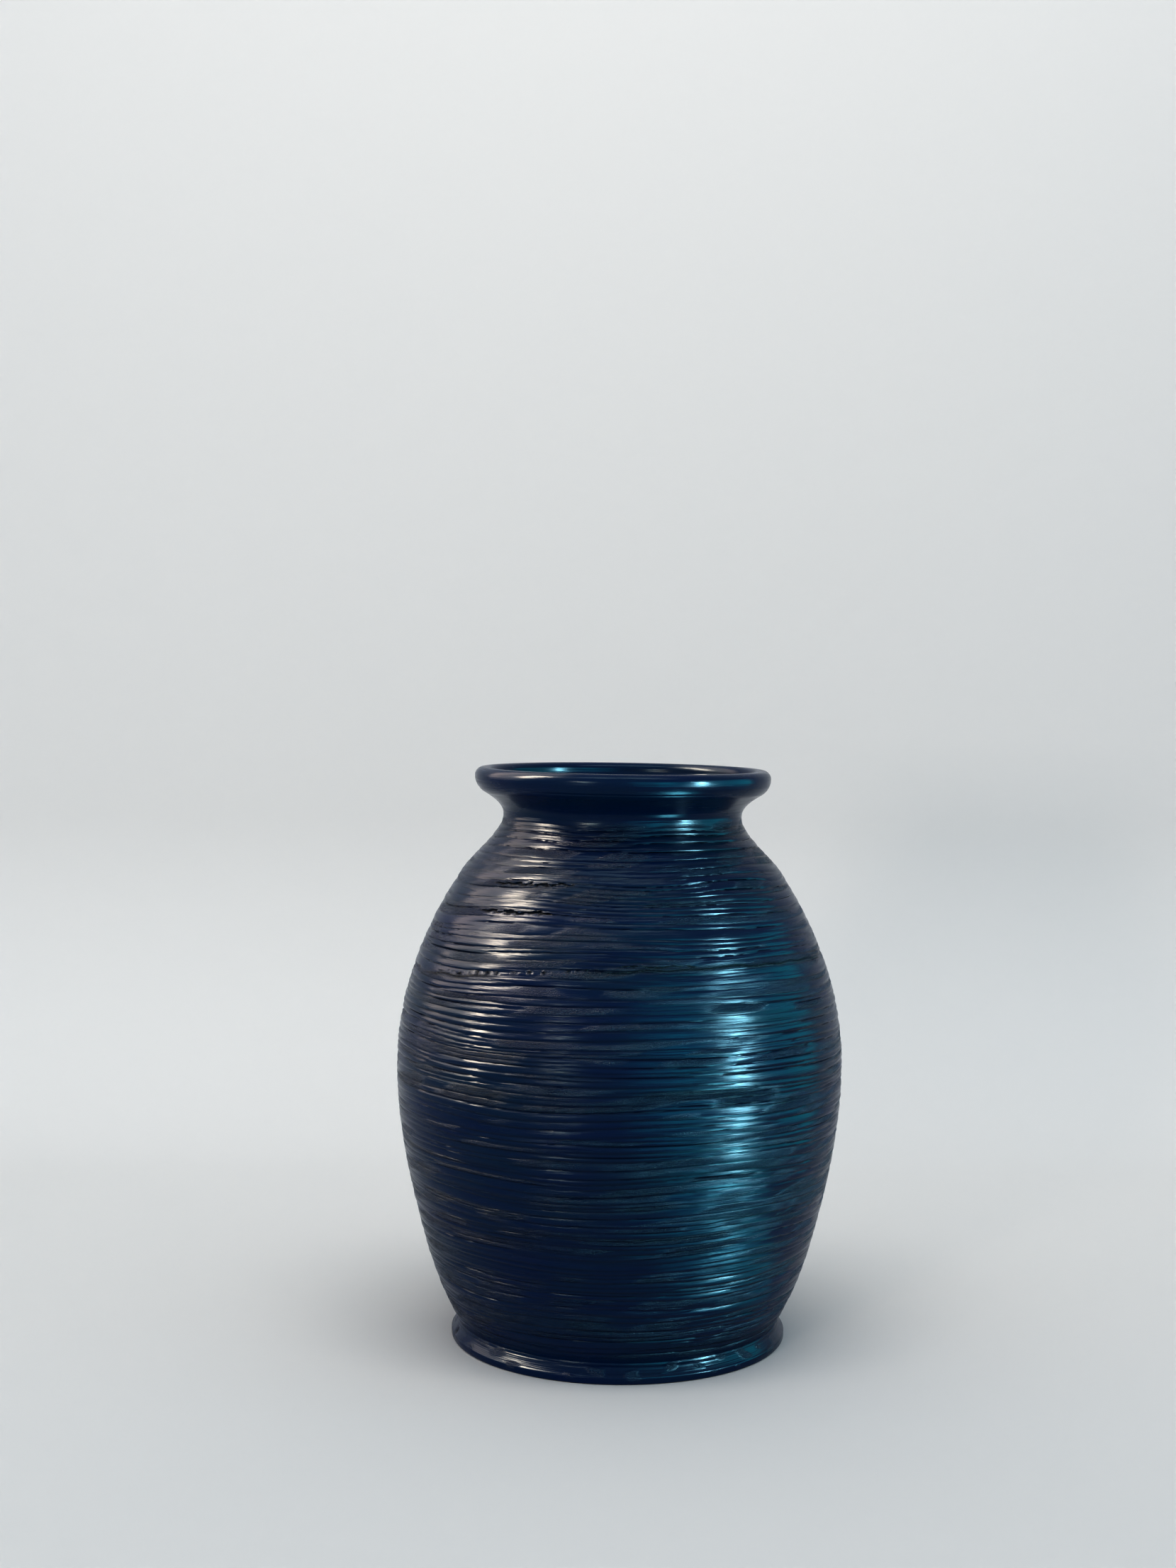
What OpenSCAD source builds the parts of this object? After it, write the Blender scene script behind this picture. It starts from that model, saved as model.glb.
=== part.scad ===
// Stoneware vase with a flared foot, a barrel-shaped combed body, a short neck and a rolled rim.
// The pot is thrown in sections, which are scored, coated with slip and luted together.
// Each section is one solid of revolution about Z, and it meets the next one face to face on a V joint.
// The origin is the centre of the foot, on the surface that the pot stands on. Lengths are in mm.

/* [Body] */
// Height from the table to the crest of the rim
height = 320; // [280:5:390]
// Outside radius of the belly, over the crests of the combing
belly_radius = 125; // [108:0.5:150]
// Height of the widest part of the belly
belly_height = 155; // [130:1:165]
// Thickness of the wall, square to its face
wall = 7; // [5:0.2:9]

/* [Foot] */
// Radius of the flared foot
foot_radius = 94; // [84:0.5:112]
// How far the foot stands out past the root of the wall
foot_flare = 4; // [3:0.5:7]
// Height of the foot where the wall springs from it
foot_height = 10.5; // [8:0.1:12.5]
// Height of the upright edge of the foot
foot_edge = 4.3; // [3.4:0.1:5.5]
// Width of the ring that the pot stands on
tread = 20; // [15:0.5:24]
// Height of the turned hollow inside the tread
foot_hollow = 3; // [1.5:0.1:4]

/* [Floor] */
// Thickness of the floor slab
floor_thickness = 9; // [7:0.5:12]
// Radius of the curve from the floor up into the wall
floor_fillet = 8; // [5:0.5:10]
// Width of the ledge in the foot that the floor slab rests on
floor_ledge = 4.5; // [3:0.5:5]

/* [Heel] */
// Height of the heel, where the root of the wall turns up into the belly
heel_height = 49; // [38:1:60]
// How much wider the pot is at the heel than at the root of the wall
heel_swell = 16.8; // [12:0.2:22]

/* [Neck] */
// Outside radius of the neck at its narrowest
neck_radius = 66.8; // [56:0.2:82]
// Depth of the narrowest part of the neck below the crest of the rim
neck_drop = 25.5; // [23:0.5:31]
// Depth of the shoulder below the crest of the rim
shoulder_drop = 58; // [50:1:66]
// How much wider the pot is at the shoulder than at the neck
shoulder_spread = 23; // [18:0.5:28]

/* [Rim] */
// How far the rim stands out past the neck
rim_flare = 16; // [14:0.1:19]
// Radius of the top of the rolled rim
roll_top = 4.7; // [4:0.1:6]
// Radius of the underside of the rolled rim
roll_under = 10.4; // [9:0.1:12]
// Radius of the inner edge of the lip
lip_round = 4; // [3:0.1:4.6]

/* [Luted joints] */
// Height of the joint between the two thrown walls, above the belly
wall_joint_rise = 59; // [35:1:62]
// Depth of the joint between the wall and the collar, below the crest of the rim
collar_joint_drop = 36; // [32:0.5:44]
// Depth of the V joints
joint_depth = 2.5; // [1.5:0.1:3]

/* [Hidden] */

GLAZE = "#141c2b";
BARE_CLAY = "#4a3f3a";

// Length of the straight steps that the long and the tight curves are drawn with
long_step = 4;
tight_step = 1.5;
arc_steps = 8;

// Slopes are the change of radius for each mm of height
root_slope = 0.61;
heel_slope = 0.29;
shoulder_slope = -0.65;
// The underside of the roll runs to this angle below the horizontal, where the neck takes over
under_angle = 60;
// Rounding of the foot's outer edges, and how far the band above its edge is hollowed
foot_round = 1.2;
foot_sag = 0.4;
// The rounded edge turns in to this angle, where the hollowed band takes over
edge_angle = 50;

root_radius = foot_radius - foot_flare;
tread_outer = foot_radius - foot_round;
tread_inner = tread_outer - tread;
seat_radius = tread_inner + floor_ledge;
floor_top = foot_hollow + floor_thickness;
neck_height = height - neck_drop;
rim_radius = neck_radius + rim_flare;
roll_height = height - roll_top;
crest_radius = rim_radius - roll_top;
lip_radius = crest_radius - lip_round;
rim_joint_height = roll_height - roll_under * sin(under_angle);
wall_joint_height = belly_height + wall_joint_rise;
collar_joint_height = height - collar_joint_drop;

// The outside from the root of the wall to the underside of the roll, as stations of [height, radius, slope]
STATIONS = [
    [foot_height, root_radius, root_slope],
    [heel_height, root_radius + heel_swell, heel_slope],
    [belly_height, belly_radius, 0],
    [height - shoulder_drop, neck_radius + shoulder_spread, shoulder_slope],
    [neck_height, neck_radius, 0],
    [rim_joint_height, rim_radius - roll_under * (1 - cos(under_angle)), tan(under_angle)]
];

// Radius at height z on the cubic that joins stations a and b with their slopes
function blend(a, b, z) =
    let (span = b[0] - a[0], t = (z - a[0]) / span)
    a[1] * (1 - t) * (1 - t) * (1 + 2 * t) + a[2] * span * t * (1 - t) * (1 - t)
    + b[1] * t * t * (3 - 2 * t) - b[2] * span * t * t * (1 - t);

// Slope at height z on the same cubic
function blend_slope(a, b, z) =
    let (span = b[0] - a[0], t = (z - a[0]) / span)
    6 * t * (1 - t) * (b[1] - a[1]) / span
    + a[2] * (1 - t) * (1 - 3 * t) - b[2] * t * (2 - 3 * t);

// Number of the pair of stations that height z lies between
function stretch(z, i = 0) =
    (i < len(STATIONS) - 2 && z > STATIONS[i + 1][0]) ? stretch(z, i + 1) : i;

function outer_radius(z) = let (i = stretch(z)) blend(STATIONS[i], STATIONS[i + 1], z);
function outer_slope(z) = let (i = stretch(z)) blend_slope(STATIONS[i], STATIONS[i + 1], z);

// Radius of the inside of the wall, which keeps its thickness square to the face
function wall_inside(z) = outer_radius(z) - wall * sqrt(1 + pow(outer_slope(z), 2));

// How far the curve at the edge of the floor reaches in from the wall at height z
function fillet_reach(z) =
    let (u = max(0, 1 - (z - floor_top) / floor_fillet))
    floor_fillet * (1 - sqrt(1 - u * u));

// Radius of the inside at height z: the wall up to the neck, and from there a funnel up to the lip
function inner_radius(z) =
    z > neck_height
        ? blend([neck_height, neck_radius - wall, 0], [height - lip_round, lip_radius, 0], z)
        : wall_inside(z) - fillet_reach(z);

// Heights from low to high in equal steps of about step mm
function heights(low, high, step) =
    let (n = ceil((high - low) / step))
    [for (i = [0 : n]) low + (high - low) * i / n];

function outside(low, high, step) = [for (z = heights(low, high, step)) [outer_radius(z), z]];

// Points down the inside from high to low
function inside(low, high, step) =
    let (zs = heights(low, high, step))
    [for (i = [len(zs) - 1 : -1 : 0]) [inner_radius(zs[i]), zs[i]]];

// Tip of the V joint at height z: a ridge on the section below, and a groove in the one above
function joint_tip(z) = [(outer_radius(z) + inner_radius(z)) / 2, z + joint_depth];

// Arc about centre from one angle to another, measured from the outward direction
function arc(centre, radius, from, to) =
    [for (i = [0 : arc_steps])
        let (a = from + (to - from) * i / arc_steps)
        centre + radius * [cos(a), sin(a)]];

module turned(outline) {
    rotate_extrude($fn = 96) polygon(outline);
}

// A stretch of wall, with a groove along its bottom edge and a ridge along its top edge
module wall_section(low, high, step) {
    turned(concat(
        outside(low, high, step),
        [joint_tip(high)],
        inside(low, high, step),
        [joint_tip(low)]
    ));
}

// Flared ring that the pot stands on, with a ledge for the floor slab and a ridge for the wall
module foot_ring() {
    edge_centre = [tread_outer, foot_edge - foot_round * sin(edge_angle)];
    sweep = edge_centre + foot_round * [cos(edge_angle), sin(edge_angle)] - [root_radius, foot_height];
    color(GLAZE) turned(concat(
        [[tread_inner, 0]],
        arc([tread_outer, foot_round], foot_round, -90, 0),
        arc(edge_centre, foot_round, 0, edge_angle),
        [for (i = [arc_steps - 1 : -1 : 0])
            let (t = i / arc_steps)
            [root_radius, foot_height] + t * sweep - [foot_sag * sin(180 * t), 0]],
        [[(root_radius + seat_radius) / 2, foot_height + joint_depth]],
        [[seat_radius, foot_height], [seat_radius, foot_hollow], [tread_inner, foot_hollow]]
    ));
}

// Round slab, held between the ledge in the foot and the root of the wall
module floor_slab() {
    color(BARE_CLAY) translate([0, 0, foot_hollow])
        cylinder(h = floor_thickness, r = seat_radius, $fn = 96);
}

// First thrown wall. Its root stands on the foot and laps over the edge of the floor slab.
module lower_wall() {
    color(GLAZE) turned(concat(
        outside(foot_height, wall_joint_height, long_step),
        [joint_tip(wall_joint_height)],
        inside(floor_top + floor_fillet, wall_joint_height, long_step),
        inside(floor_top, floor_top + floor_fillet, tight_step),
        [[seat_radius, floor_top], [seat_radius, foot_height]],
        [[(root_radius + seat_radius) / 2, foot_height + joint_depth]]
    ));
}

// Second thrown wall, from above the belly to the shoulder
module upper_wall() {
    color(GLAZE) wall_section(wall_joint_height, collar_joint_height, long_step);
}

// Collar that draws in to the neck and flares out again under the rim
module neck_collar() {
    color(GLAZE) wall_section(collar_joint_height, rim_joint_height, tight_step);
}

// Thick rolled rim
module rolled_rim() {
    under_centre = [rim_radius - roll_under, roll_height];
    top_centre = [crest_radius, roll_height];
    lip_centre = [crest_radius, height - lip_round];
    color(GLAZE) turned(concat(
        arc(under_centre, roll_under, -under_angle, 0),
        arc(top_centre, roll_top, 0, 90),
        arc(lip_centre, lip_round, 90, 180),
        inside(rim_joint_height, height - lip_round, tight_step),
        [joint_tip(rim_joint_height)]
    ));
}

foot_ring();
floor_slab();
lower_wall();
upper_wall();
neck_collar();
rolled_rim();
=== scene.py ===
import math

import bpy
import numpy as np
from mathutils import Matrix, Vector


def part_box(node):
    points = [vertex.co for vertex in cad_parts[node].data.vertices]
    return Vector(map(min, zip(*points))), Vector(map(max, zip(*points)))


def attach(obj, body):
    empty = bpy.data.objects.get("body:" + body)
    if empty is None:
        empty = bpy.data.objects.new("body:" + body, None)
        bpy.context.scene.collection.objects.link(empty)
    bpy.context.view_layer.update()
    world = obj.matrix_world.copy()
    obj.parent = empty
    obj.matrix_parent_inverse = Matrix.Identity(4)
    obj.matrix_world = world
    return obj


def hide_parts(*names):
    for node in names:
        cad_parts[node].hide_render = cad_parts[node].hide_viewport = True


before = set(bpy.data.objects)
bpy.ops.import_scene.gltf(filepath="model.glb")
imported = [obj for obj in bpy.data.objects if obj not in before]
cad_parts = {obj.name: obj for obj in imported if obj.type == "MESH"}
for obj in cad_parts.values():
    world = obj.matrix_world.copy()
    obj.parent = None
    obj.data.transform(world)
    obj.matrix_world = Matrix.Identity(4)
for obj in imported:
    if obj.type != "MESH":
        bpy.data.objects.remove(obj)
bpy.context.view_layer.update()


# ---- Floor slab ----
# The round slab of dark stoneware that closes the bottom of the pot. It was rolled out, laid on the
# ledge inside the foot and pressed down wet. Its underside was trimmed on the wheel and left bare.

MM = 0.001

slab_low, slab_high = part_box("floor_slab")
slab_radius = slab_high.x / MM
slab_bottom = slab_low.z / MM
slab_top = slab_high.z / MM
TRIM_PITCH = 3.4
TRIM_DEPTH = 0.22
SETTLED = 1.5
MOVED = 0.9
SETTLED_FROM, SETTLED_TO = 200, 320
RIM_WIDTH = 170


def angles(columns):
    """Angles round the pot, one for each column, as a row: a whole turn in equal steps."""
    return np.arange(columns)[None, :] * 2 * np.pi / columns


def drift(theta, v, seed, waves=(1, 6), reach=60):
    """Smooth value of about -1 to 1 that closes up round the pot: a sum of cosines, each with a whole
    number of waves round the pot, whose phase turns slowly with the height v in mm."""
    rng = np.random.default_rng(seed)
    total = np.zeros(np.broadcast(theta, v).shape)
    for wave in range(waves[0], waves[1] + 1):
        turn, phase = rng.uniform(-1, 1), rng.uniform(0, 2 * np.pi)
        total += np.cos(wave * theta + 2 * np.pi * turn * v / reach + phase)
    return total / math.sqrt(waves[1] - waves[0] + 1)


def ramp(x, low, high):
    """Smooth step from 0 at low to 1 at high: 3t^2 - 2t^3 of the share t of the way."""
    t = np.clip((x - low) / (high - low), 0, 1)
    return t * t * (3 - 2 * t)


def clay_piece(name, radius, height, poles=False, marks=None):
    """Mesh of a turned piece from arrays in mm with a row for each point of the outline and a column for
    each angle. The outline is a loop, outside going up and inside coming down, or runs from pole to pole.
    The top of the pot settled in the kiln, so above z = 200 it is moved to +X, and its +X side is lower."""
    rows, columns = radius.shape
    theta = angles(columns)
    settled = ramp(height, SETTLED_FROM, SETTLED_TO)
    across = radius * np.cos(theta)
    drop = SETTLED * settled * (across / RIM_WIDTH + 0.5)
    points = np.stack([across + MOVED * settled, radius * np.sin(theta), height - drop], axis=-1) * MM
    count = rows if not poles else rows - 1
    low = np.arange(count)[:, None] * columns
    high = (np.arange(count)[:, None] + 1) % rows * columns
    here = np.arange(columns)[None, :]
    beside = (here + 1) % columns
    faces = np.stack([low + here, low + beside, high + beside, high + here], axis=-1).reshape(-1, 4)
    verts = points.reshape(-1, 3)
    fans = []
    if poles:
        ends = np.array([[0, 0, height[-1].mean()], [0, 0, height[0].mean()]]) * MM
        verts = np.concatenate([verts, ends])
        last = (rows - 1) * columns
        upper = np.stack([last + here[0], last + beside[0], np.full(columns, rows * columns)], axis=-1)
        under = np.stack([beside[0], here[0], np.full(columns, rows * columns + 1)], axis=-1)
        fans = upper.tolist() + under.tolist()
    mesh = bpy.data.meshes.new(name)
    mesh.from_pydata(verts.tolist(), [], faces.tolist() + fans)
    mesh.polygons.foreach_set("use_smooth", np.ones(len(mesh.polygons), bool))
    mesh.set_sharp_from_angle(angle=math.radians(58))
    for mark, value in (marks or {}).items():
        layer = mesh.attributes.new(mark, "FLOAT", "POINT")
        full = np.zeros(len(verts), np.float32)
        full[:rows * columns] = value.astype(np.float32).ravel()
        layer.data.foreach_set("value", full)
    mesh.update()
    piece = bpy.data.objects.new(name, mesh)
    bpy.context.scene.collection.objects.link(piece)
    return piece


def wire(material, *links):
    """Joins (node, output) to (node, input) for each pair."""
    for (source, output), (target, socket) in links:
        material.node_tree.links.new(source.outputs[output], target.inputs[socket])


def bare_stoneware():
    """Unglazed dark stoneware: brown-black clay with fine grog, matt, with a sandy grain."""
    material = bpy.data.materials.new("bare_stoneware")
    material.use_nodes = True
    nodes = material.node_tree.nodes
    shader = nodes["Principled BSDF"]
    shader.inputs["Roughness"].default_value = 0.82
    shader.inputs["Specular IOR Level"].default_value = 0.3
    place = nodes.new("ShaderNodeTexCoord")
    grog = nodes.new("ShaderNodeTexNoise")
    grog.inputs["Scale"].default_value = 900
    grog.inputs["Detail"].default_value = 4
    tone = nodes.new("ShaderNodeValToRGB")
    tone.color_ramp.elements[0].position = 0.35
    tone.color_ramp.elements[0].color = (0.050, 0.040, 0.035, 1)
    tone.color_ramp.elements[1].position = 0.68
    tone.color_ramp.elements[1].color = (0.120, 0.097, 0.082, 1)
    grain = nodes.new("ShaderNodeBump")
    grain.inputs["Strength"].default_value = 0.5
    grain.inputs["Distance"].default_value = 0.25 * MM
    wire(material,
         ((place, "Object"), (grog, "Vector")),
         ((grog, "Fac"), (tone, "Fac")),
         ((tone, "Color"), (shader, "Base Color")),
         ((grog, "Fac"), (grain, "Height")),
         ((grain, "Normal"), (shader, "Normal")))
    return material


BARE = bare_stoneware()

theta = angles(180)
out = np.linspace(1, slab_radius, 60)[:, None]
turning = TRIM_DEPTH * (1 - np.cos(2 * np.pi * (out + 0.8 * drift(theta, out, 3)) / TRIM_PITCH)) / 2
under = slab_bottom + turning * ramp(out, 0, 6) * ramp(slab_radius - out, 0, 5)
upper = slab_top - 0.5 * turning[::-1] * ramp(slab_radius - out[::-1], 0, 5)
floor_slab = clay_piece(
    "floor_slab",
    np.concatenate([out, out[::-1]]) + 0 * theta,
    np.concatenate([under, upper]) + 0 * theta,
    poles=True,
)
floor_slab.data.materials.append(BARE)
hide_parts("floor_slab")
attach(floor_slab, "root")


# ---- Foot ring ----
# The flared foot, a ring of clay thrown onto the edge of the slab. Above its rounded edge a hollowed
# band leans in to the wall, with a groove near the top. The tread was wiped clean of glaze.

_, foot_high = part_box("foot_ring")
wall_low, wall_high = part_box("lower_wall")
foot_radius = foot_high.x / MM
foot_height = wall_low.z / MM
FOOT_FLARE = 4
FOOT_EDGE = 4.3
FOOT_ROUND = 1.2
FOOT_SAG = 0.4
FOOT_WOBBLE = 0.35
GROOVE_DEPTH, GROOVE_AT = 0.45, 0.78
CHIP_DEPTH, CHIP_BEARING = 1.3, 193
EDGE_ANGLE = math.radians(50)
TREAD = 20
JOINT_DEPTH = 2.5
root_radius = foot_radius - FOOT_FLARE
tread_outer = foot_radius - FOOT_ROUND
tread_inner = tread_outer - TREAD


def turn_from(theta, bearing):
    """Angle round the pot from the bearing given in degrees, between -pi and pi."""
    return (theta - math.radians(bearing) + np.pi) % (2 * np.pi) - np.pi


def fine_rings(theta, v, seed, pitch, depth):
    """Depth in mm of fingertip lines on smooth clay: cosines of three pitches near the one given, which
    wander a little and come and go round the pot."""
    rng = np.random.default_rng(seed)
    total = 0
    for share in (0.62, 1.0, 1.7):
        wander = 0.35 * share * pitch * drift(theta, v, rng.integers(9999), (1, 5), 90)
        wave = np.cos(2 * np.pi * (v + wander) / (pitch * share) + rng.uniform(0, 6))
        fade = 0.5 + 0.5 * np.clip(drift(theta, v, rng.integers(9999), (1, 4), 25), -1, 1)
        total = total + (1 + wave) / 2 * fade
    return depth * total / 3


def satin_glaze():
    """Blue-black satin glaze. The lines of the comb's teeth, the grit of torn clay and a soft skin are
    bump, torn marks are duller, and the colour goes from dark blue to near black where shade is painted
    into grooves, pits, the seam, tears and the chip."""
    material = bpy.data.materials.new("satin_glaze")
    material.use_nodes = True
    nodes = material.node_tree.nodes
    shader = nodes["Principled BSDF"]
    shader.inputs["Specular IOR Level"].default_value = 0.2
    shader.inputs["Specular Tint"].default_value = (0.65, 0.97, 1.0, 1)
    place = nodes.new("ShaderNodeTexCoord")

    def noise(stretch, detail, roughness=0.55):
        """Noise with the given number of grains to a metre along each axis."""
        mapping = nodes.new("ShaderNodeMapping")
        mapping.inputs["Scale"].default_value = stretch
        texture = nodes.new("ShaderNodeTexNoise")
        texture.inputs["Scale"].default_value = 1
        texture.inputs["Detail"].default_value = detail
        texture.inputs["Roughness"].default_value = roughness
        wire(material, ((place, "Object"), (mapping, "Vector")), ((mapping, "Vector"), (texture, "Vector")))
        return texture

    def maths(operation, first, second):
        """Output of a sum or product of two values, each a number or another node's output."""
        node = nodes.new("ShaderNodeMath")
        node.operation = operation
        for socket, value in enumerate((first, second)):
            if isinstance(value, (int, float)):
                node.inputs[socket].default_value = value
            else:
                wire(material, (value, (node, socket)))
        return node, 0

    def mark(name):
        """Output that reads a mark kept on the mesh, from 0 to 1."""
        attribute = nodes.new("ShaderNodeAttribute")
        attribute.attribute_name = name
        return attribute, "Fac"

    combed, torn, hollow = mark("combed"), mark("torn"), mark("hollow")

    # Colour: patches of a paler blue over ink blue, and painted shade, nearly black, in the grooves and
    # pits
    patches = noise((14, 14, 60), 5)
    tone = nodes.new("ShaderNodeValToRGB")
    tone.color_ramp.elements[0].position = 0.32
    tone.color_ramp.elements[0].color = (0.0004, 0.0115, 0.0640, 1)
    tone.color_ramp.elements[1].position = 0.72
    tone.color_ramp.elements[1].color = (0.0024, 0.0220, 0.0600, 1)
    # Painted shade: the mark mixes the colour toward near black where grooves, pits, the seam, tears and
    # the chip fall in shade
    shade_mix = nodes.new("ShaderNodeMix")
    shade_mix.data_type = "RGBA"
    shade_mix.inputs[7].default_value = (0.0004, 0.0035, 0.0170, 1)
    wire(material,
         ((patches, "Fac"), (tone, "Fac")),
         ((tone, "Color"), (shade_mix, 6)),
         (hollow, (shade_mix, 0)),
         ((shade_mix, 2), (shader, "Base Color")))

    # Gloss: streaks along the rings, duller where the clay is torn
    streaks = noise((30, 30, 500), 4)
    gloss = nodes.new("ShaderNodeMapRange")
    gloss.inputs["From Min"].default_value = 0.3
    gloss.inputs["From Max"].default_value = 0.7
    gloss.inputs["To Min"].default_value = 0.15
    gloss.inputs["To Max"].default_value = 0.29
    wire(material, ((streaks, "Fac"), (gloss, "Value")))
    dull = maths("MULTIPLY", torn, 0.12)
    rough = maths("ADD", (gloss, "Result"), dull)
    wire(material, (rough, (shader, "Roughness")))

    # Relief: teeth lines on combed clay, grit where it is torn, and a soft skin all over
    teeth = maths("MULTIPLY", (noise((45, 45, 1500), 3, 0.5), "Fac"), combed)
    grit = maths("MULTIPLY", (noise((800, 800, 1900), 4, 0.7), "Fac"), torn)
    skin = maths("MULTIPLY", (noise((260, 260, 500), 3), "Fac"), 0.10)
    relief = maths("ADD", maths("ADD", maths("MULTIPLY", teeth, 0.55), maths("MULTIPLY", grit, 3.6)), skin)
    bump = nodes.new("ShaderNodeBump")
    bump.inputs["Strength"].default_value = 1
    bump.inputs["Distance"].default_value = 0.35 * MM
    wire(material, (relief, (bump, "Height")), ((bump, "Normal"), (shader, "Normal")))
    return material


GLAZE = satin_glaze()

theta = angles(400)
low_turn = np.linspace(-np.pi / 2, 0, 7)[:-1, None]
high_turn = np.linspace(0, EDGE_ANGLE, 6)[:, None]
edge_height = FOOT_EDGE - FOOT_ROUND * math.sin(EDGE_ANGLE)
edge_r = [tread_outer + FOOT_ROUND * np.cos(low_turn), tread_outer + FOOT_ROUND * np.cos(high_turn)]
edge_z = [FOOT_ROUND + FOOT_ROUND * np.sin(low_turn), edge_height + FOOT_ROUND * np.sin(high_turn)]
up = np.linspace(0, 1, 46)[1:, None]
band_r = edge_r[1][-1] + (root_radius - edge_r[1][-1]) * up - FOOT_SAG * np.sin(np.pi * up)
band_z = FOOT_EDGE + (foot_height - FOOT_EDGE) * up
groove = GROOVE_DEPTH * np.exp(-((up - GROOVE_AT - 0.02 * drift(theta, 0 * up, 21, (1, 4))) / 0.05) ** 2)
groove = groove * ramp(drift(theta, 0 * up, 20, (2, 7)), -1.4, 0.3)
band_r = band_r - groove - fine_rings(theta, up * 7, 22, 0.9, 0.16) * ramp(1 - up, 0, 0.08)
joint_middle = (root_radius + slab_radius) / 2
rest_r = np.array([joint_middle, slab_radius, slab_radius, tread_inner, tread_inner])[:, None]
rest_z = np.array([foot_height + JOINT_DEPTH, foot_height, slab_bottom, slab_bottom, 0.3])[:, None]
tread_r = np.linspace(tread_inner + 0.3, tread_outer - 0.6, 12)[:, None]
radius = np.concatenate([part + 0 * theta for part in (*edge_r, band_r, rest_r, tread_r)])
height = np.concatenate([part + 0 * theta for part in (*edge_z, band_z, rest_z, 0 * tread_r)])
nick = np.exp(-(turn_from(theta, CHIP_BEARING) / 0.02) ** 2)
chip = nick * np.exp(-(((height - FOOT_EDGE - 1.5) / 2.0) ** 2)) * (radius > root_radius + 0.4)
wobble = FOOT_WOBBLE * (1 + drift(theta, height, 23, (2, 7))) / 2 * (radius > tread_outer - 0.1)
radius = radius - CHIP_DEPTH * chip - np.clip(wobble, 0, 0.7)
scuffs = ramp(drift(theta, height, 24, (5, 40), 6), 0.3, 1.3) * (height > 2)
# The chip is darkened with painted shade
foot_ring = clay_piece("foot_ring", radius, height, marks={
    "combed": 0.25 * (height > 2) + 0 * radius,
    "torn": 0.6 * chip + 0.5 * scuffs,
    "hollow": chip,
})
foot_ring.data.materials.append(GLAZE)
foot_ring.data.materials.append(BARE)
centres = np.zeros(len(foot_ring.data.polygons) * 3)
foot_ring.data.polygons.foreach_get("center", centres)
bare_faces = (centres.reshape(-1, 3)[:, 2] < 0.35 * MM).astype(np.int32)
foot_ring.data.polygons.foreach_set("material_index", bare_faces)
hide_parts("foot_ring")
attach(foot_ring, "root")


# ---- Lower wall ----
# The first thrown wall, from the foot to just above the belly. The potter held a toothed comb against
# the turning clay: its teeth left ridges and grooves, and tore the drier, gritty clay in rough bands.

upper_low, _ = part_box("upper_wall")
collar_low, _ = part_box("neck_collar")
rim_low, rim_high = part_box("rolled_rim")
pot_height = rim_high.z / MM
belly_radius = wall_high.x / MM
wall_joint = upper_low.z / MM
collar_joint = collar_low.z / MM
rim_joint = rim_low.z / MM
rim_radius = rim_high.x / MM
WALL = 7
BELLY_HEIGHT = 155
HEEL_HEIGHT, HEEL_SWELL = 49, 16.8
SHOULDER_DROP, SHOULDER_SPREAD = 58, 23
NECK_RADIUS, NECK_DROP = 66.8, 25.5
ROLL_UNDER, UNDER_ANGLE = 10.4, math.radians(60)
FLOOR_FILLET = 8
SEAM_RISE = 6.5
SEAM_DEPTH, PIT_DEPTH = 1.2, 1.3
neck_height = pot_height - NECK_DROP
under_radius = rim_radius - ROLL_UNDER * (1 - math.cos(UNDER_ANGLE))
STATIONS = np.array([
    (foot_height, root_radius, 0.61),
    (HEEL_HEIGHT, root_radius + HEEL_SWELL, 0.29),
    (BELLY_HEIGHT, belly_radius, 0),
    (pot_height - SHOULDER_DROP, NECK_RADIUS + SHOULDER_SPREAD, -0.65),
    (neck_height, NECK_RADIUS, 0),
    (rim_joint, under_radius, math.tan(UNDER_ANGLE)),
])


def outer_radius(z):
    """Radius of the outside at height z: a cubic between each two stations that keeps their slopes."""
    i = np.clip(np.searchsorted(STATIONS[:, 0], z) - 1, 0, len(STATIONS) - 2)
    below, above = STATIONS[i], STATIONS[i + 1]
    span = above[..., 0] - below[..., 0]
    t = (z - below[..., 0]) / span
    start = below[..., 1] * (1 - t) ** 2 * (1 + 2 * t) + below[..., 2] * span * t * (1 - t) ** 2
    return start + above[..., 1] * t ** 2 * (3 - 2 * t) - above[..., 2] * span * t ** 2 * (1 - t)


def inner_radius(z):
    """Radius of the inside at height z: the wall's thickness square to its face, and the floor's curve."""
    slope = (outer_radius(z + 0.05) - outer_radius(z - 0.05)) / 0.1
    u = np.clip(1 - (z - slab_top) / FLOOR_FILLET, 0, 1)
    return outer_radius(z) - WALL * np.sqrt(1 + slope ** 2) - FLOOR_FILLET * (1 - np.sqrt(1 - u ** 2))


BANDS = 120


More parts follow.
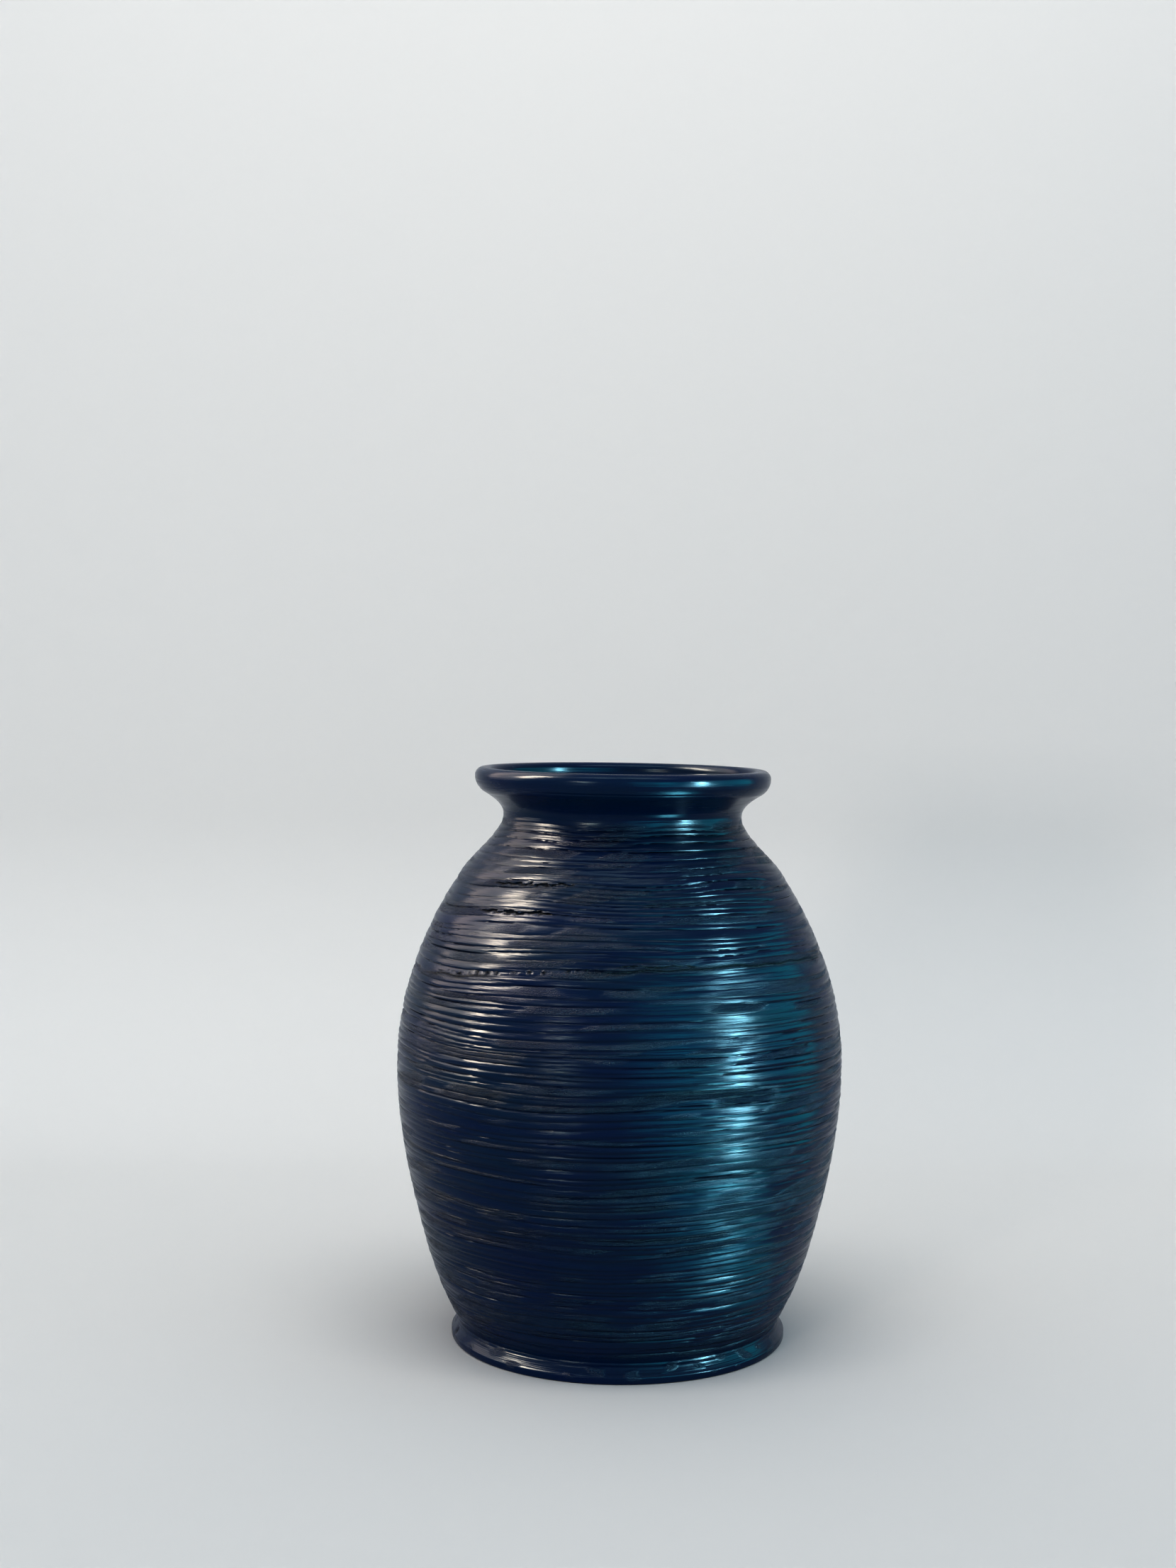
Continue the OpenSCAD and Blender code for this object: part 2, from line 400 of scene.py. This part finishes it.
def ridges(v, lean, seed):
    """Depth below the crests at ring height v, how torn each band is, and how near its grooves it is, for
    the painted shade in them. Grooves at uneven steps cut the clay into bands. A band leans back toward its
    top and bulges as an arch, 4t(1 - t). The depth of a groove fades away from it as exp(-distance /
    width)."""
    rng = np.random.default_rng(seed)
    steps = 1.4 + 5.0 * rng.beta(1.2, 2.0, BANDS)
    grooves = np.concatenate([[-10], -10 + np.cumsum(steps)])
    cut = 0.16 + 0.80 * rng.beta(1.2, 2.0, BANDS + 1)
    width = rng.uniform(0.28, 0.62, BANDS + 1)
    low_edge, tilt = rng.uniform(0, 0.2, BANDS + 1), rng.uniform(0.02, 0.17, BANDS + 1)
    bulge = rng.uniform(0.03, 0.09, BANDS + 1)
    tear = (rng.random(BANDS + 1) < 0.46) * rng.uniform(0.5, 1, BANDS + 1)
    i = np.clip(np.searchsorted(grooves, v) - 1, 0, BANDS - 1)
    step = grooves[i + 1] - grooves[i]
    t = (v - grooves[i]) / step
    arch = (0.8 + 0.4 * ramp(v, 60, 170)) * bulge[i] * step * (1 - 4 * t * (1 - t))
    face = low_edge[i] * (1 - t) + np.minimum(lean * tilt[i] * step, 1.2) * t + arch + 0.12 * tear[i]
    low_cut = np.exp(-t * step / width[i])
    high_cut = np.exp(-(1 - t) * step / width[i + 1])
    depth = face + cut[i] * low_cut + cut[i + 1] * high_cut
    return depth, tear[i] * ramp(4 * t * (1 - t), 0.1, 0.7), np.maximum(low_cut, high_cut)


def crumbs(shape, seed, run):
    """Random grit of about -1 to 1 for each point of a mesh, drawn out along the rings by averaging each
    point with its neighbours, run of them on each side."""
    grit = np.random.default_rng(seed).standard_normal(shape)
    total = sum(np.roll(grit, k, axis=1) * (1 + run - abs(k)) for k in range(-run, run + 1))
    return np.clip(total / np.sqrt(sum((1 + run - abs(k)) ** 2 for k in range(-run, run + 1))), -2, 2) / 2


def combing(theta, v):
    """Depth, tornness and painted shade of the combed clay: three sets of ridges, each strongest on its own
    stretches of the pot, so that ridges split, join and fade as the comb was lifted and set down. Low on
    the front right the bands lean back the most. Torn bands are sunk and gritty, with painted shade in
    their pits, and on a fine mesh the grit is averaged, so that its grains are about as long as on a coarse
    one."""
    wander = 0.9 * drift(theta, v, 40, (1, 6), 35)
    weights = [np.exp(5.0 * drift(theta, v, 50 + k, (1, 5), 24)) for k in range(3)]
    whole = sum(weights)
    lean = 1 + 2.0 * (1 - ramp(v, 70, 190)) * ramp(np.cos(theta - math.radians(310)), 0.4, 1.0)
    depth, torn, hollow = 0, 0, 0
    for k, weight in enumerate(weights):
        d, t, h = ridges(v + wander, lean, 60 + k)
        share = weight / whole
        depth, torn, hollow = depth + share * d, torn + share * t, hollow + share * h
    torn = torn * ramp(drift(theta, v, 70, (2, 16), 9), -0.8, 0.5)
    fine_mesh = torn.shape[1] > 300
    rough = crumbs(torn.shape, 71, 1 if fine_mesh else 0)
    depth = depth + 0.42 * torn * (1 + rough)
    # Painted shade in the deeper pits of torn bands
    hollow = hollow + 0.8 * torn * np.clip(rough, 0, 1)
    fade = ramp(v, foot_height, foot_height + 6) * (1 - ramp(v, neck_height - 6, neck_height + 1))
    depth = depth * (0.8 + 0.3 * np.clip(drift(theta, v, 72, (1, 3), 90), -1, 1))
    return depth * fade, np.clip(torn, 0, 1) * fade, np.clip(hollow, 0, 1) * fade


def gash(theta, v, bearing, height, length, width, depth, seed):
    """Depth of a tear in the clay: a thin ragged lens about the bearing and height given. Its edges and its
    line jump about, and it breaks up toward its ends."""
    along = turn_from(theta, bearing) * outer_radius(np.array(height))
    a = np.clip(1 - (2 * along / length) ** 2, 0, 1)
    ragged = drift(theta, 0 * v, seed, (30, 190), 50)
    line = height + 0.5 * drift(theta, 0 * v, seed + 1, (14, 90))
    half = width / 2 * a ** 0.4 * np.clip(0.75 + 0.6 * ragged, 0.08, 1.7)
    across = np.abs(v - line) / half
    return depth * ramp(a, 0, 0.3) * (1 - ramp(across, 0.35, 1.0))


def seam(theta, v):
    """Depth of the seam between the two walls. The first wall was cut slanting, so the seam's line rises
    and falls once round the pot as a sine. It opens and closes, and has a row of pits above it."""
    slant = SEAM_RISE * np.sin(theta - math.radians(232))
    line = wall_joint + slant + 0.4 * drift(theta, 0 * v, 80, (8, 40))
    opening = ramp(drift(theta, 0 * v, 81, (2, 9)), -1.0, 0.2)
    groove = SEAM_DEPTH * opening * np.exp(-np.abs(v - line) / 0.55)
    pits = ramp(drift(theta, 0 * v, 82, (60, 170)), 0.3, 1.1)
    pits = pits * ramp(np.cos(theta - math.radians(216)), 0.55, 0.9)
    return groove + PIT_DEPTH * pits * np.exp(-((v - line - 1.7) / 0.8) ** 2)


# Each tear's bearing, height, length, width and depth, and the seed of its ragged edge
TEARS = [
    (237, 260.3, 54, 2.0, 1.7, 100),
    (234, 246.2, 52, 2.4, 1.9, 102),
    (280, 220.8, 46, 1.3, 1.1, 103),
    (40, 120, 30, 1.4, 0.9, 104),
    (115, 236, 34, 1.5, 1.0, 106),
    (318, 88, 22, 1.0, 0.6, 108),
]


def teeth_shown(v):
    """How much the teeth lines show at height v: less above the neck, where the clay was smoothed."""
    return 1 - 0.7 * ramp(v, neck_height - 6, neck_height)


def outside_clay(theta, v):
    """Radius, height and marks of the worked outside at ring height v, with painted shade in its grooves,
    pits, seam and tears. The rings wander up and down by about a millimetre, and every mark is cut inward
    from the turned outline."""
    calm = ramp(v, foot_height, foot_height + 25) * (1 - ramp(v, collar_joint - 25, collar_joint))
    z = v + 1.0 * calm * drift(theta, v, 90, (1, 3), 150)
    depth, torn, hollow = combing(theta, v)
    joint = seam(theta, v)
    tears = sum(gash(theta, v, *tear) for tear in TEARS)
    depth = depth * (1 - 0.5 * np.clip(tears, 0, 1)) + joint + tears
    worked = ramp(v, foot_height + 2, foot_height + 8)
    marks = {
        "combed": worked * teeth_shown(v),
        "torn": np.clip(torn + 1.2 * joint + tears, 0, 1),
        # Painted shade: the seam, tears and grooves are darkened where shade falls in them
        "hollow": np.clip(0.6 * hollow + 0.9 * joint + 0.8 * tears, 0, 1),
    }
    return outer_radius(z) - depth, z, marks


def inside_clay(theta, v):
    """Radius of the inside at height v, with broad rings left by the fingers, 5.5 mm apart."""
    return inner_radius(v) - fine_rings(theta, v, 120, 5.5, 0.5)


def wall_piece(name, columns, rings, back, low_rows):
    """A stretch of wall from the ring heights of its outside, the heights of its inside from the top down,
    and the (radius, height) rows that close its lower end."""
    theta = angles(columns)
    radius, z, marks = outside_clay(theta, rings[:, None])
    inside = inside_clay(theta, back[:, None])
    tip_r = (radius[-1] + inside[0]) / 2
    tip_z = z[-1] + JOINT_DEPTH
    closing_r = [np.full(columns, r) if np.isscalar(r) else r for r, _ in low_rows]
    closing_z = [np.full(columns, h) if np.isscalar(h) else h for _, h in low_rows]
    all_r = np.concatenate([radius, tip_r[None], inside, np.array(closing_r)])
    all_z = np.concatenate([z, tip_z[None], back[:, None] + 0 * theta, np.array(closing_z)])
    blank = np.zeros((len(all_r) - len(rings), columns))
    full = {mark: np.concatenate([value + 0 * theta, blank]) for mark, value in marks.items()}
    full["combed"][len(rings) + 1:] = 0.15
    return clay_piece(name, all_r, all_z, marks=full)


inside_down = np.linspace(wall_joint, slab_top + FLOOR_FILLET, 28)
fillet_down = np.linspace(slab_top + FLOOR_FILLET - 1, slab_top, 8)
lower_wall = wall_piece(
    "lower_wall", 212,
    np.linspace(foot_height, wall_joint, 430),
    np.concatenate([inside_down, fillet_down]),
    [(slab_radius, slab_top), (slab_radius, foot_height), (joint_middle, foot_height + JOINT_DEPTH)],
)
lower_wall.data.materials.append(GLAZE)
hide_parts("lower_wall")
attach(lower_wall, "root")


# ---- Upper wall ----
# The second thrown wall, from above the belly to the shoulder, set on the first with slip. The seam
#  shows as a thin dark line with pits, a groove with painted shade in it, and two long tears opened in the
#  combing where the clay was dry, also darkened with painted shade.

theta = angles(430)
seam_level = np.array([[wall_joint]])
seam_r, seam_z, _ = outside_clay(theta, seam_level)
seam_inside = inside_clay(theta, seam_level)
upper_wall = wall_piece(
    "upper_wall", 430,
    np.linspace(wall_joint, collar_joint, 204),
    np.linspace(collar_joint, wall_joint, 22),
    [((seam_r[0] + seam_inside[0]) / 2, seam_z[0] + JOINT_DEPTH)],
)
upper_wall.data.materials.append(GLAZE)
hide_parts("upper_wall")
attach(upper_wall, "root")


# ---- Neck collar ----
# The collar that draws in to the neck and flares out again. The combing runs out just under the neck,
# and above it the clay was smoothed with a wet sponge and has only faint fingertip lines.

ROLL_TOP = 4.7
LIP_ROUND = 4
COLLAR_COLUMNS = 400
lip_radius = rim_radius - ROLL_TOP - LIP_ROUND


def throat_radius(z):
    """Radius of the inside above the neck: a cubic that widens from the neck to the lip."""
    t = np.clip((z - neck_height) / (pot_height - LIP_ROUND - neck_height), 0, 1)
    wide = NECK_RADIUS - WALL + (lip_radius - NECK_RADIUS + WALL) * t ** 2 * (3 - 2 * t)
    return np.where(z > neck_height, wide, inner_radius(np.minimum(z, neck_height)))


def smooth_ring(name, columns, outline, rings, marks):
    """A smooth piece from its outline rows (radius, height) and its finger lines, as depths in mm."""
    theta = angles(columns)
    radius = outline[:, :1] - rings(theta)
    height = outline[:, 1:] + 0 * theta
    return clay_piece(name, radius, height, marks={k: m + 0 * theta for k, m in marks.items()})


up = np.linspace(collar_joint, rim_joint, 84)
down = np.linspace(rim_joint, collar_joint, 50)
tip_high = [((under_radius + float(throat_radius(rim_joint))) / 2, rim_joint + JOINT_DEPTH)]
tip_foot = [((float(outer_radius(np.array(collar_joint))) + float(throat_radius(collar_joint))) / 2,
             collar_joint + JOINT_DEPTH)]
outline = np.array([*zip(outer_radius(up), up), *tip_high, *zip(throat_radius(down), down), *tip_foot])
level = outline[:, 1:]
outer_rows = np.arange(len(outline))[:, None] < len(up)
worn = ramp(level, collar_joint, collar_joint + 3) * (1 - ramp(level, rim_joint - 1, rim_joint))


def collar_lines(theta):
    """Finger lines on the collar, and low on its outside the last of the combing."""
    return fine_rings(theta, level, 130, 2.6, 0.16) * worn + combing(theta, level)[0] * outer_rows


# Painted shade in the grooves and pits of the last of the combing
_, collar_torn, collar_hollow = combing(angles(COLLAR_COLUMNS), level)
neck_collar = smooth_ring("neck_collar", COLLAR_COLUMNS, outline, collar_lines, {
    "combed": np.where(outer_rows, teeth_shown(level), 0.3),
    "torn": collar_torn * outer_rows,
    "hollow": 0.6 * collar_hollow * outer_rows,
})
neck_collar.data.materials.append(GLAZE)
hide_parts("neck_collar")
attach(neck_collar, "root")


# ---- Rolled rim ----
# The thick rim, a coil pressed onto the collar and rolled over on the wheel. A faint step runs along
# its underside where the coil was pressed down, and the lip's inner edge is a soft corner.

roll_height = pot_height - ROLL_TOP
crest_radius = rim_radius - ROLL_TOP
under = np.linspace(-UNDER_ANGLE, 0, 30)
over = np.linspace(0, np.pi / 2, 20)[1:]
lip = np.linspace(np.pi / 2, np.pi, 14)[1:]
down = np.linspace(pot_height - LIP_ROUND, rim_joint, 26)[1:]
outline = np.array([
    *zip(rim_radius - ROLL_UNDER + ROLL_UNDER * np.cos(under), roll_height + ROLL_UNDER * np.sin(under)),
    *zip(crest_radius + ROLL_TOP * np.cos(over), roll_height + ROLL_TOP * np.sin(over)),
    *zip(crest_radius + LIP_ROUND * np.cos(lip), pot_height - LIP_ROUND + LIP_ROUND * np.sin(lip)),
    *zip(throat_radius(down), down),
    *tip_high,
])
level = outline[:, 1:]
outer_rows = np.arange(len(outline))[:, None] < len(under) + len(over)


def rim_lines(theta):
    """Finger lines on the roll, and the step on its underside, a low cut that comes and goes."""
    lines = fine_rings(theta, level, 140, 2.1, 0.17) * ramp(level, rim_joint, rim_joint + 1.5)
    step = 0.28 * np.exp(-((level - rim_joint - 2.6) / 0.35) ** 2)
    step = step * ramp(drift(theta, level, 141, (1, 4), 400), -0.5, 0.6)
    worn_crest = 1 - 0.7 * ramp(level, pot_height - 1.2, pot_height)
    return np.where(outer_rows, (lines + step) * worn_crest, 0.4 * lines)


rolled_rim = smooth_ring("rolled_rim", 420, outline, rim_lines, {
    "combed": np.where(outer_rows, 0.35, 0.3),
    "torn": 0 * level,
    "hollow": 0 * level,
})
rolled_rim.data.materials.append(GLAZE)
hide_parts("rolled_rim")
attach(rolled_rim, "root")


# ---- Stage ----
# A plain pale floor that turns up into a pale wall behind the vase. Neither is part of the object.

WALL_BEHIND, WALL_TOP = 0.62, 3.2
COVE = 0.25
FLOOR_FRONT, FLOOR_HALF = -3.0, 4.0
turn = np.linspace(0, np.pi / 2, 25)
sweep = np.array([
    (FLOOR_FRONT, 0),
    *zip(WALL_BEHIND - COVE + COVE * np.sin(turn), COVE - COVE * np.cos(turn)),
    (WALL_BEHIND, WALL_TOP),
])
verts = [(x, y, z) for x in (-FLOOR_HALF, FLOOR_HALF) for y, z in sweep]
count = len(sweep)
faces = [(i, count + i, count + i + 1, i + 1) for i in range(count - 1)]
mesh = bpy.data.meshes.new("stage")
mesh.from_pydata(verts, [], faces)
mesh.polygons.foreach_set("use_smooth", np.ones(len(mesh.polygons), bool))
stage = bpy.data.objects.new("stage", mesh)
bpy.context.scene.collection.objects.link(stage)
paper = bpy.data.materials.new("pale_paper")
paper.use_nodes = True
paper_inputs = paper.node_tree.nodes["Principled BSDF"].inputs
paper_inputs["Base Color"].default_value = (0.74, 0.73, 0.72, 1)
paper_inputs["Roughness"].default_value = 0.9
paper_inputs["Specular IOR Level"].default_value = 0
stage.data.materials.append(paper)


def lamp(name, bearing, rise, distance, size, power, colour, glint=False, spread=180, aim=(0, 0, 0.17)):
    """A soft rectangular lamp that faces aim. Bearing is the angle from the front, to the right when
    positive, rise is the angle above aim, and spread is how wide its light fans out, all in degrees.
    A glint lamp adds only the shine on glaze, and leaves the paper alone. No lamp is seen itself."""
    a, e = math.radians(bearing), math.radians(rise)
    way = np.array([math.sin(a) * math.cos(e), -math.cos(a) * math.cos(e), math.sin(e)])
    light = bpy.data.lights.new(name, "AREA")
    light.shape = "RECTANGLE"
    light.size, light.size_y = size
    light.energy = power
    light.color = colour
    light.spread = math.radians(spread)
    holder = bpy.data.objects.new(name, light)
    bpy.context.scene.collection.objects.link(holder)
    holder.location = np.array(aim) + distance * way
    holder.rotation_euler = (math.radians(90 - rise), 0, a)
    holder.visible_diffuse = not glint
    holder.visible_camera = False
    return holder


# Shine on the glaze only: a tall window at the front right with the sky round it, and two soft sheets of
# light just above the floor, for the low part of the pot. At the left, a warm lamp and the wall it lights.
lamp("window", 60, 4, 1.4, (0.18, 0.95), 76, (0.66, 0.90, 1.0), glint=True)
lamp("cool_side", 74, 0, 1.2, (2.8, 1.3), 43, (0.0, 0.88, 1.0), glint=True)
lamp("cool_front", 22, 6, 1.5, (0.80, 1.2), 10, (0.08, 0.88, 1.0), glint=True)
lamp("cool_floor", 58, -90, 0.5, (0.20, 0.30), 0.6, (0.0, 0.86, 1.0), glint=True,
     aim=(0.225, -0.20, 0.505))
lamp("floor_shine", 58, -90, 0.5, (0.09, 0.14), 1.3, (0.40, 0.88, 1.0), glint=True,
     aim=(0.228, -0.205, 0.506))
lamp("warm_lamp", -85, 41, 1.4, (0.27, 0.80), 62, (1.0, 0.66, 0.52), glint=True)
lamp("warm_side", -116, 38, 1.1, (1.5, 1.3), 34, (1.0, 0.75, 0.62), glint=True)
lamp("low_shine", -34, 14, 1.9, (0.20, 0.35), 8, (1.0, 0.64, 0.50), glint=True)

# Light on everything: a small low lamp, and a wash on the wall behind
lamp("low_lamp", -29, 9, 1.9, (0.25, 0.30), 6, (1.0, 0.86, 0.76))
lamp("wall_wash", 0, 52, 1.9, (1.8, 0.5), 9, (1.0, 0.93, 0.87), spread=110, aim=(0, 0.6, 0.75))

world = bpy.data.worlds.new("room")
world.use_nodes = True
sky_inputs = world.node_tree.nodes["Background"].inputs
sky_inputs["Color"].default_value = (0.81, 0.92, 1.0, 1)
sky_inputs["Strength"].default_value = 0.88
bpy.context.scene.world = world
bpy.context.scene.view_settings.view_transform = "Standard"
bpy.context.scene.view_settings.gamma = 0.7


# ---- Camera ----
# A nearly level view from a little above the rim, with the vase low in the frame and right of its middle.

LOOKS_DOWN = 2.87
TURNED = 0.36
lens = bpy.data.cameras.new("camera")
lens.lens = 48.0
lens.sensor_fit = "VERTICAL"
lens.sensor_height = 36.0
camera = bpy.data.objects.new("camera", lens)
bpy.context.scene.collection.objects.link(camera)
camera.location = (-0.0186, -1.170, 0.3689)
camera.rotation_euler = (math.radians(90 - LOOKS_DOWN), 0, 0)
bpy.context.view_layer.update()
camera.rotation_euler.rotate_axis("Z", math.radians(TURNED))
bpy.context.scene.camera = camera
